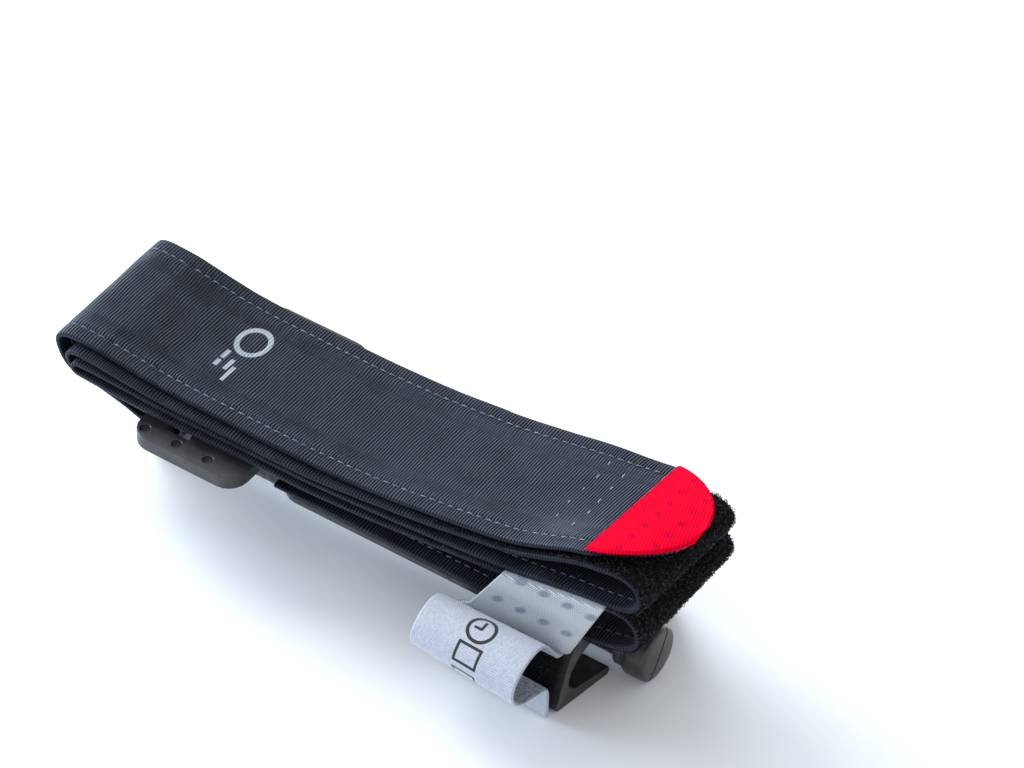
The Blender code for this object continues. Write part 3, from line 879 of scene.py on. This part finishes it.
def band_motions():
    to_buckle = blending()
    return {
        "tail": blending(),
        "tail_fold_band": blending(),
        "lower_tail_band": to_buckle,
        "buckle_turn_band": "buckle",
        "lead_band": to_buckle,
        "outer_fold_band": blending(),
        "upper_ring_band": "upper_fold",
        "inner_fold_band": blending(),
        "lower_ring_band": "base",
    }


# ---- the band


def band_path():
    """The whole band as one line, from its red tip to the plate."""
    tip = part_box("tail_end_band")[1]
    path = Path(BAND_NODES, 1, tip)
    at, shift = [], []
    for node, knots in SIDEWAYS.items():
        first, last = path.cuts[node]
        for share, value in knots:
            at.append(path.along[int(first + share * (last - first))])
            shift.append(value)
    sideways = np.interp(path.along, at, shift)
    path.slide_sideways(softened_line(sideways[:, None], 60)[:, 0])
    path.draw_in("outer_fold_band", *OUTER_FOLD_PULL)
    path.draw_in("inner_fold_band", *INNER_FOLD_PULL)
    path.shape_free_end(path.cuts["tail_end_band"][1])
    low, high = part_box("tail_fold_band")
    height = high.z - low.z
    start, full = high.z - 0.5 * height, high.z - 0.1 * height
    path.lift_corner(BAND_NODES[:3], CORNER_RISE, CORNER_REACH, start, full)
    return path


def seam_stitches(name, path, stretch, thick, inset=SEAM_INSET):
    """Two lines of stitches on both faces of a strap, between the two stations of stretch."""
    low, high = path.along[list(stretch)]
    begin = np.arange(low + 0.4, high - STITCH_LENGTH - 0.1, STITCH_PITCH)
    lines, ups = [], []
    arch = np.array([-0.16, 0.03, 0.07, 0.03, -0.16])
    for start in begin:
        station = path.station_at(start + np.linspace(0, STITCH_LENGTH, len(arch)))
        half = path.half_width()[station]
        for edge in (-1, 1):
            for side in (-1, 1):
                level = side * (thick / 2 + RIB_RELIEF * 0.35 + arch)
                lines.append(path.place(station, edge * (half - inset), level))
                ups.append(path.normal[station])
    return tubes(name, np.array(lines), np.array(ups), STITCH_RADIUS, 6)


def ring_print(path):
    """Plain printed marks on the top of the tail: a ring and a few bars."""
    first, last = path.cuts["upper_tail_band"]
    x = path.middle[first : last + 1, 0] / MM
    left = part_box("upper_tail_band")[0].x / MM
    centre = path.along[first + int(np.argmin(np.abs(x - (left + 26.4))))]

    def marks(f, along, across):
        shapes = [f.ring(along, across, (centre, 5.2), 3.7, 1.25, 0.85)]
        for off, low, wide, tall in BARS:
            shapes.append(f.box(along, across, (centre + off, low), wide, tall))
        return f.any_of(shapes)

    return marks


def make_band(path):
    fabric = band_finish("band_webbing")
    printed = band_finish("band_webbing_printed", ring_print(path))
    thread = thread_finish()
    motions = band_motions()
    half = float(path.half_width().max())
    shares = spread_columns(half, SEAM_INSET)
    seam_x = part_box("red_tip")[0].x
    stretches = [("tail", ("tail_end_band", "upper_tail_band"), printed)]
    stretches += [(node, (node,), fabric) for node in BAND_NODES[2:]]
    for key, nodes, finish in stretches:
        first, last = path.cuts[nodes[0]][0], path.cuts[nodes[-1]][1]
        if key == "tail":
            first += int(WEBBING_SHORT / STEP)
        name = ("tail_band" if key == "tail" else key) + "_webbing"
        x = path.middle[first : last + 1, 0]
        low, high = (seam_x + past * MM for past in DRAW_IN)
        inset = smooth_between(x, low, high) * (key == "tail")
        mesh = strip(name, path, (first, last), BAND_THICK, rib_relief(), shares, inset=inset)
        add_piece(name, mesh, finish, motions[key], nodes)
        if key == "tail":
            first += int(np.argmax(x < seam_x - 1.5 * MM))
        sewn = seam_stitches(name + "_seams", path, (first, last), BAND_THICK)
        add_piece(name + "_seams", sewn, thread, motions[key])


def make_tacks(path):
    """Short tacks across the free end, just before the red tip, painted pale as a painted
    highlight.
    """
    first, last = path.cuts["tail_end_band"]
    stretch = np.arange(first, last + 1)
    tip_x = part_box("red_tip")[0].x
    rng = np.random.default_rng(21)
    lines, ups = [], []
    for back in TACK_ROWS:
        for across in np.arange(-10.0, 13.0, 5.1):
            x = tip_x - (back + rng.uniform(-0.5, 0.5)) * MM
            middle = stretch[int(np.argmin(np.abs(path.middle[stretch, 0] - x)))]
            station = middle + np.array([-1, 0, 0, 0, 1])
            level = -(BAND_THICK / 2 + RIB_RELIEF + np.array([-0.25, 0.0, 0.04, 0.0, -0.25]))
            spot = across + (2.3 if back > TACK_ROWS[0] else 0.0) + rng.uniform(-0.4, 0.4)
            reach = rng.uniform(0.6, 0.9) * np.linspace(-1, 1, 5)
            lines.append(path.place(station, spot + reach, level))
            ups.append(path.normal[station])
    mesh = tubes("free_end_tacks", np.array(lines), np.array(ups), TACK_RADIUS, 6)
    add_piece("free_end_tacks", mesh, tack_glint_finish(), "tail_end")


def ring_stretch(path, node, from_x):
    """Stations of a ring from where its top run passes from_x to where its lower run does."""
    first, last = path.cuts[node]
    inside = np.flatnonzero(path.middle[first : last + 1, 0] > from_x * MM)
    return first + inside[0], first + inside[-1]


def pile_loops(path, first, last, count, seed, ground):
    """Lines of small loops that stand on the outer face of a ring."""
    rng = np.random.default_rng(seed)
    station = rng.integers(first, last, count)
    half = path.half_width()[station] - 0.35
    share = rng.uniform(-1, 1, count)
    across = half * share
    normal, run = path.normal[station], path.run[station]
    side = np.cross(run, normal)
    root = path.place(station, across, np.full(count, ground))
    turn = rng.uniform(0, math.pi, count)
    flat = run * np.cos(turn)[:, None] + side * np.sin(turn)[:, None]
    out = np.where(path.far[station, 1] > path.near[station, 1], 1.0, -1.0)
    sideways = np.zeros((count, 3))
    sideways[:, 1] = out * share
    lean = np.abs(share) ** 6
    rise = normal + 0.45 * rng.normal(size=(count, 3)) + sideways * (1.3 * lean)[:, None]
    rise /= np.linalg.norm(rise, axis=1)[:, None]
    radius = rng.uniform(0.25, 0.5, count)
    tall = rng.uniform(0.35, 0.85, count)
    angle = np.linspace(0, math.pi, 5)
    lines = (
        root[:, None, :]
        + flat[:, None, :] * (radius[:, None] * np.cos(angle)[None, :] * MM)[..., None]
        + rise[:, None, :] * (tall[:, None] * np.sin(angle)[None, :] * MM)[..., None]
    )
    return lines, np.cross(flat, rise)


def make_pile(path):
    """The loop tape on the outside of both rings, thick with loops where it shows."""
    finish, base = pile_finish(), ground_finish()
    ground = BAND_THICK / 2 + RIB_RELIEF
    for node, body in (("upper_ring_band", "upper_fold"), ("lower_ring_band", "base")):
        first, last = ring_stretch(path, node, PILE_START_X)
        half = float(path.half_width()[first])
        shares = np.linspace(-1, 1, int(2 * half / 0.45))
        name = node.replace("band", "pile_tape")
        lift = ground + PILE_THICK / 2
        stretch = (first, last)
        mesh = strip(name, path, stretch, PILE_THICK, pile_relief, shares, lift, PILE_INSET)
        add_piece(name, mesh, base, body)
        dense = ring_stretch(path, node, PILE_DENSE_X)
        plan = (("sparse", stretch, SPARSE_LOOPS, 31), ("dense", dense, DENSE_LOOPS, 32))
        for kind, (low, high), count, seed in plan:
            lines, ups = pile_loops(path, low, high, count, seed, ground + PILE_THICK * 0.8)
            label = f"{name}_loops_{kind}"
            loops = tubes(label, lines, ups, LOOP_RADIUS, 3)
            add_piece(label, loops, finish, body)


# ---- the red tip and the hooks


def make_red_tip():
    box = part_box("red_tip")
    path = Path(["red_tip"], 1, (box[0].x, box[0].y, box[0].z), 0.5)
    path.shape_free_end()
    shares = np.linspace(-1, 1, 110)
    mesh = strip("red_tip_tape", path, (0, None), RED_THICK, weave_relief, shares, -0.06, -0.25)
    add_piece("red_tip_tape", mesh, red_finish(), "tail_end", ["red_tip"])


def hook_field(name, path, pitch, side, ground, seed):
    """A tape's stiff little hooks, in rows."""
    rng = np.random.default_rng(seed)
    station = path.station_at(np.arange(path.along[0] + pitch / 2, path.along[-1], pitch))
    lines, ups = [], []
    for row, at in enumerate(station):
        half = path.half_width()[at] - 0.4
        spots = np.arange(-half + (row % 2) * pitch / 2, half, pitch)
        stations = np.full(len(spots), at)
        root = path.place(stations, spots, np.full(len(spots), side * ground))
        up = path.normal[stations] * side
        lean = path.run[stations] * rng.choice([-1, 1], (len(spots), 1))
        tall = rng.uniform(0.38, 0.5, len(spots))[:, None] * MM
        bend = [0.0, 0.0, 0.10, 0.30, 0.42]
        rise = [-0.2, 0.55, 0.95, 1.0, 0.72]
        lines.append(
            np.stack([root + up * tall * r + lean * tall * b for r, b in zip(rise, bend)], 1)
        )
        ups.append(np.cross(path.run[stations], path.normal[stations]))
    return tubes(name, np.concatenate(lines), np.concatenate(ups), HOOK_RADIUS, 5)


def make_hook_tapes():
    """The hook tape under the free end and the two hook patches on the clip."""
    finish, base = pile_finish(), ground_finish()
    for node, axis, body, pitch, thick in HOOK_TAPES:
        low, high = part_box(node)
        begin = low if axis == 1 else (low.x, (low.y if node.endswith("near") else high.y), low.z)
        path = Path([node], axis, begin, 0.4, 0.2)
        if axis == 1:
            path.shape_free_end()
        shares = np.linspace(-1, 1, 60)
        mesh = strip(node + "_ground", path, (0, None), thick, pile_relief, shares)
        add_piece(node + "_ground", mesh, base, body, [node])
        if axis == 1:
            side = -1 if path.normal[len(path.normal) // 2][2] > 0 else 1
        else:
            side = 1 if path.normal[0][1] * path.middle[0][1] > 0 else -1
        hooks = hook_field(node + "_hooks", path, pitch, side, thick / 2, 41)
        add_piece(node + "_hooks", hooks, finish, body)


# ---- the closing strap


def gap_line(band):
    """Height, by x, of the gap between the two rings at the band's near edge."""
    near = np.where((band.near[:, 1] < band.far[:, 1])[:, None], band.near, band.far)
    lines = []
    for node, after_bend in (("upper_ring_band", True), ("lower_ring_band", False)):
        first, last = band.cuts[node]
        run = near[first : last + 1]
        bend = int(np.argmax(run[:, 0]))
        run = run[bend:] if after_bend else run[:bend]
        lines.append(run[np.argsort(run[:, 0])])
    return lambda x: sum(np.interp(x, line[:, 0], line[:, 2]) for line in lines) / 2


def fold_into_gap(mesh, gap, level_y, above_z, radius=TUCK_BEND_RADIUS * MM):
    """Bends the strap's top over, so that it goes in between the two rings."""
    points = mesh_points(mesh).astype(float)
    top = (points[:, 2] > above_z) & (np.abs(points[:, 1] - level_y) < 1.5 * MM)
    x, y, z = points[top].T
    past = np.maximum(z - (gap(x) - radius), 0.0)
    angle = np.minimum(past / radius, math.pi / 2)
    straight = np.maximum(past - radius * math.pi / 2, 0.0)
    out = level_y - y
    crest = np.empty(len(points), np.float32)
    mesh.attributes["crest"].data.foreach_get("value", crest)
    # Painted shade: where the strap bends in under the ring's edge, its crest is evened out to a
    # mid value, so the knit there is painted a flat mid grey.
    plain = smooth_between(past, 0.0, 0.4 * MM)
    crest[top] += (0.42 - crest[top]) * plain
    mesh.attributes["crest"].data.foreach_set("value", crest)
    z = z - past + radius * np.sin(angle) + out * np.sin(angle)
    y = level_y + radius * (1 - np.cos(angle)) + straight - out * np.cos(angle)
    points[top] = np.stack([x, y, z], 1)
    move_points(mesh, points)


def narrow_roll(mesh, bend, root_y, root_z=14 * MM):
    """Makes the roll smaller towards its end on the left, about the valley where it starts."""
    points = mesh_points(mesh).astype(float)
    weave = np.empty(len(points) * 3, np.float32)
    mesh.attributes["weave"].data.foreach_get("vector", weave)
    roll = weave.reshape(-1, 3)[:, 0] > bend
    x, y, z = points[roll].T
    size = 1 - ROLL_NARROWING * (x.max() - x) / np.ptp(x)
    points[roll] = np.stack([x, root_y + (y - root_y) * size, root_z + (z - root_z) * size], 1)
    move_points(mesh, points)


def make_closing_strap(band):
    low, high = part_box("closing_strap_tuck")
    begin = (low.x, low.y, high.z)
    nodes = ["closing_strap_tuck", "closing_strap"]
    path = Path(nodes, 0, begin, 0.7, STRAP_STEP)
    path.lengthen(TUCK_EXTRA)
    valley = path.cuts["closing_strap"][0]
    bend = path.along[valley]
    crest = path.along[valley + int(np.argmax(path.middle[valley:, 2]))]

    def marks(f, along, across):
        face = (crest + 1.4, 0.6)
        shapes = [f.ring(along, across, face, 3.3, 0.85)]
        shapes.append(f.box(along, across, (face[0] - 1.1, face[1]), 1.2, 0.36))
        shapes.append(f.box(along, across, (face[0], face[1] - 0.9), 0.36, 1.1))
        for step in (8.3, 15.0):
            outer = f.box(along, across, (crest + step, 0.6), 2.6, 3.3)
            inner = f.box(along, across, (crest + step, 0.6), 1.9, 2.6)
            shapes.append(f.minus(outer, inner))
        return f.any_of(shapes)

    at_far = path.normal[int(np.argmin(path.middle[:, 1]))][1]
    plain_side = 1.0 if at_far > 0 else -1.0
    finish = cloth_finish(bend + 3.0, plain_side, marks)
    shares = np.linspace(-1, 1, 128)
    mesh = strip("closing_strap_cloth", path, (0, None), STRAP_THICK, knit_relief, shares)
    narrow_roll(mesh, bend, high.y)
    fold_into_gap(mesh, gap_line(band), path.middle[0][1], (low.z + high.z) / 2)
    opening = blending()
    add_piece("closing_strap_cloth", mesh, finish, opening, nodes)


# ---- inner strap, anchor, riser


def make_small_straps():
    fabric = band_finish("strap_webbing")
    thread = thread_finish()
    for node, axis, body, thick, seam in SMALL_STRAPS:
        low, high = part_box(node)
        begin = (high.x, low.y, high.z) if axis == 1 else (low.x, high.y, high.z)
        path = Path([node], axis, begin, 0.5)
        half = float(path.half_width().max())
        shares = spread_columns(half, seam)
        relief = rib_relief(0.6, 0.08, seam, 0.0, 3)
        mesh = strip(node + "_webbing", path, (0, None), thick, relief, shares)
        add_piece(node + "_webbing", mesh, fabric, body, [node])
        if seam:
            sewn = seam_stitches(node + "_seams", path, (0, -1), thick, seam)
            add_piece(node + "_seams", sewn, thread, body)
    make_inner_strap(fabric)
    make_riser(fabric)


def make_inner_strap(fabric):
    """The flat strap inside the band, seen only through the plate's opening."""
    low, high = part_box("inner_strap")
    nx, ny = 240, 40
    x = np.linspace(low.x, high.x, nx)[:, None]
    y = np.linspace(low.y, high.y, ny)[None, :]
    crest = np.abs(np.sin(np.pi * x / (0.6 * MM))) + 0 * y
    middle = (low.z + high.z) / 2
    layers = []
    for side in (1, -1):
        z = middle + side * (0.1 + 0.06 * crest) * MM
        layers.append(np.stack([x + 0 * y, y + 0 * x, z], -1)[:, ::side])
    grid = np.concatenate(layers, 1)
    flat = grid.reshape(-1, 3)
    weave = np.stack([flat[:, 0] / MM, flat[:, 1] / MM, np.ones(len(flat))], 1)
    marks = {"weave": weave, "crest": np.concatenate([crest, crest], 1).ravel()}
    mesh = flat_strip("inner_strap_webbing", grid, marks)
    add_piece("inner_strap_webbing", mesh, fabric, "base", ["inner_strap"])


def make_riser(fabric):
    """The inner strap gathered into pleats between the plate and the rod."""
    low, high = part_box("riser_strap")
    centre, radius = (low + high) / 2, (high.x - low.x) / 2
    rows, ring, pleats = 60, 144, 9
    t = np.linspace(0, 1, rows)[:, None]
    angle = np.linspace(0, 2 * math.pi, ring, endpoint=False)[None, :]
    fold = np.abs(np.sin(angle * pleats / 2 + 0.5 * np.sin(2.2 * t))) ** 0.6
    crest = np.abs(np.sin(np.pi * t * (high.z - low.z) / MM / 0.6)) + 0 * angle
    r = radius * (0.74 + 0.24 * fold) + 0.04 * MM * crest
    x, y = centre.x + 1.04 * r * np.cos(angle), centre.y + 0.9 * r * np.sin(angle)
    z = high.z - (high.z - low.z) * t + 0 * angle
    weave = np.stack([z / MM, 4.0 * angle + 0 * t, x], -1).reshape(-1, 3)
    attributes = {"weave": weave, "crest": crest.ravel()}
    mesh = turned_shape("riser_pleats", np.stack([x, y, z], -1), attributes)
    stretching = blending()
    add_piece("riser_pleats", mesh, fabric, stretching, ["riser_strap"])


# ---- plastic parts


def rounded_copy(node, name, width, finish, body):
    """A copy of a CAD node with its flat faces joined again and its edges rounded."""
    points, triangles = cad_mesh(node)
    mesh = mesh_of(name, points, [triangles])
    piece = add_piece(name, mesh, finish, body, [node])
    joined = piece.modifiers.new("flat_faces", "DECIMATE")
    joined.decimate_type = "DISSOLVE"
    joined.angle_limit = math.radians(0.6)
    edge = piece.modifiers.new("soft_edges", "BEVEL")
    edge.width = width * MM
    edge.segments = 3
    edge.limit_method = "ANGLE"
    edge.angle_limit = math.radians(38)
    shade = piece.modifiers.new("weights", "WEIGHTED_NORMAL")
    shade.keep_sharp = False


def lathe(name, profile, segments):
    """A closed turned shape about the X axis from (x, radius) pairs, in metres."""
    angle = np.linspace(0, 2 * math.pi, segments, endpoint=False)
    x, r = np.array(profile).T
    across, up = r[:, None] * np.cos(angle), r[:, None] * np.sin(angle)
    return turned_shape(name, np.stack([np.repeat(x[:, None], segments, 1), across, up], -1))


def box_cutter(name, centre, half, tilt=0.0):
    """A box to cut with, turned by tilt about the X axis."""
    corners = [(x, y, z) for x in (-1, 1) for y in (-1, 1) for z in (-1, 1)]
    cos, sin = math.cos(tilt), math.sin(tilt)
    turn = np.array([[1, 0, 0], [0, cos, -sin], [0, sin, cos]])
    points = (np.array(corners, float) * np.array(half)) @ turn.T + np.array(centre)
    ends = [(0, 1, 3, 2), (4, 6, 7, 5)]
    walls = [(0, 4, 5, 1), (2, 3, 7, 6), (0, 2, 6, 4), (1, 5, 7, 3)]
    return add_object(name, mesh_of(name, points, outward(points, [np.array(ends + walls)])))


def apply_cut(piece, cutter):
    """Cuts the cutter out of the piece for good, then removes the cutter."""
    modifier = piece.modifiers.new("cut", "BOOLEAN")
    modifier.operation = "DIFFERENCE"
    modifier.solver = "EXACT"
    modifier.object = cutter
    bpy.context.view_layer.update()
    graph = bpy.context.evaluated_depsgraph_get()
    cut = bpy.data.meshes.new_from_object(piece.evaluated_get(graph))
    piece.modifiers.remove(modifier)
    piece.data = cut
    bpy.data.objects.remove(cutter)


def make_rod(finish):
    """The windlass rod: ringed grips, a collar and a flared head with a slit at each end, and
    a window through the middle for the inner strap."""
    low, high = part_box("windlass_rod")
    centre = (low + high) / 2
    reach, head = (high.x - low.x) / 2, (high.z - low.z) / 2
    shaft, collar = head * SHAFT_SHARE, head * COLLAR_SHARE
    neck = reach - ROD_END * MM
    half = [(0.0, shaft)]
    for x in np.arange(GRIP_START, neck / MM - 4.0, 0.25):
        ring = GRIP_DEPTH * abs(math.sin(math.pi * (x - GRIP_START) / GRIP_PITCH)) ** 0.5
        fade = float(smooth_between(np.array(x), GRIP_START, GRIP_START + 3.0))
        half.append((x * MM, shaft - (GRIP_DEPTH - ring) * fade * MM))
    bends = (
        (neck, shaft, ((-1.2, 0.0), (-0.3, 0.1))),
        (neck, collar, ((0.15, -0.35), (0.5, 0.0), (2.0, 0.0), (2.4, -0.3))),
        (neck, head, ((2.8, -0.55), (3.6, -0.1), (4.4, 0.0))),
        (reach, head, ((-1.1, 0.0), (-0.75, -0.08), (-0.45, -0.28), (-0.28, -0.6), (-0.18, -1.2))),
    )
    for x, r, steps in bends:
        half += [(x + ahead * MM, r + out * MM) for ahead, out in steps]
    half += [(reach - 0.05 * MM, head * 0.5), (reach, 0.25 * MM)]
    profile = [(-x, r) for x, r in reversed(half[1:])] + half
    mesh = lathe("windlass_rod_body", profile, 96)
    mesh.transform(Matrix.Translation(centre))
    nodes = ["windlass_rod"]
    piece = add_piece("windlass_rod_body", mesh, finish, "windlass", nodes)
    apply_cut(piece, box_cutter("window_cut", centre, [size * MM for size in WINDOW_HALF]))
    for end in (-1, 1):
        at = (centre.x + end * reach, centre.y, centre.z)
        half_slit = (0.75 * MM, 0.27 * MM, head * 1.02)
        apply_cut(piece, box_cutter("slit_cut", at, half_slit, -math.radians(SLIT_TURN)))
    piece.data.shade_smooth()
    piece.data.set_sharp_from_angle(angle=math.radians(40))


def make_plastic_parts():
    moulded = plastic_finish("moulded_black", (0.022, 0.0205, 0.0205), 0.36)
    matt = plastic_finish("moulded_black_matt", (0.016, 0.016, 0.018), 0.48, 1.4)
    rounded_copy("windlass_clip", "windlass_clip_body", 0.7, moulded, "base")
    rounded_copy("routing_buckle", "routing_buckle_frame", 0.35, matt, "buckle")
    rounded_copy("stabilization_plate", "stabilization_plate_body", 0.35, matt, "base")
    make_rod(moulded)


# ---- studio


def area_light(name, place, aim, size, power, colour):
    data = bpy.data.lights.new(name, "AREA")
    data.shape = "DISK"
    data.size = size
    data.energy = power
    data.color = colour
    obj = add_object(name, data)
    obj.location = place
    obj.rotation_mode = "QUATERNION"
    obj.rotation_quaternion = (aim - place).to_track_quat("-Z", "Y")


def make_floor():
    corners = [(-1, -1), (1, -1), (1, 1), (-1, 1)]
    height = CAD_BOX[0].z - FLOOR_GAP
    points = np.array([(x * FLOOR_REACH, y * FLOOR_REACH, height) for x, y in corners])
    mesh = mesh_of("floor", points, [np.array([[0, 1, 2, 3]])])
    mesh.materials.append(floor_finish())
    add_object("floor", mesh)


def make_lights(target):
    world = bpy.data.worlds.new("studio")
    world.use_nodes = True
    world.node_tree.nodes["Background"].inputs[0].default_value = (0.94, 0.965, 1.0, 1.0)
    world.node_tree.nodes["Background"].inputs[1].default_value = 0.86
    bpy.context.scene.world = world
    bpy.context.scene.view_settings.view_transform = "Standard"
    for name, offset, size, power, colour in LIGHTS:
        area_light(name, target + Vector(offset), target, size, power, colour)


def make_camera(target):
    """The camera looks past the target by AIM_RIGHT and AIM_UP, rolled by CAMERA_ROLL."""
    azimuth, elevation = math.radians(CAMERA_AZIMUTH), math.radians(CAMERA_ELEVATION)
    level = math.cos(elevation)
    back = Vector((math.sin(azimuth) * level, -math.cos(azimuth) * level, math.sin(elevation)))
    right = Vector((math.cos(azimuth), math.sin(azimuth), 0))
    up = back.cross(right)
    tilt = Matrix.Rotation(math.radians(CAMERA_ROLL), 3, back)
    right, up = tilt @ right, tilt @ up
    data = bpy.data.cameras.new("camera")
    data.sensor_width = 36.0
    data.lens = CAMERA_LENS
    camera = add_object("camera", data)
    camera.location = target + back * CAMERA_DISTANCE
    aim = target + right * AIM_RIGHT + up * AIM_UP
    facing = Matrix((right, up, back)).transposed().to_quaternion()
    swing = (-back).rotation_difference(aim - camera.location)
    camera.rotation_mode = "QUATERNION"
    camera.rotation_quaternion = swing @ facing
    bpy.context.scene.camera = camera


def make_studio():
    low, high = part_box("windlass_rod")
    target = (low + high) / 2
    target.z = AIM_HEIGHT
    make_floor()
    make_lights(target)
    make_camera(target)


def main():
    path = band_path()
    make_band(path)
    make_tacks(path)
    make_pile(path)
    make_red_tip()
    make_hook_tapes()
    make_closing_strap(path)
    make_small_straps()
    make_plastic_parts()
    make_studio()


main()
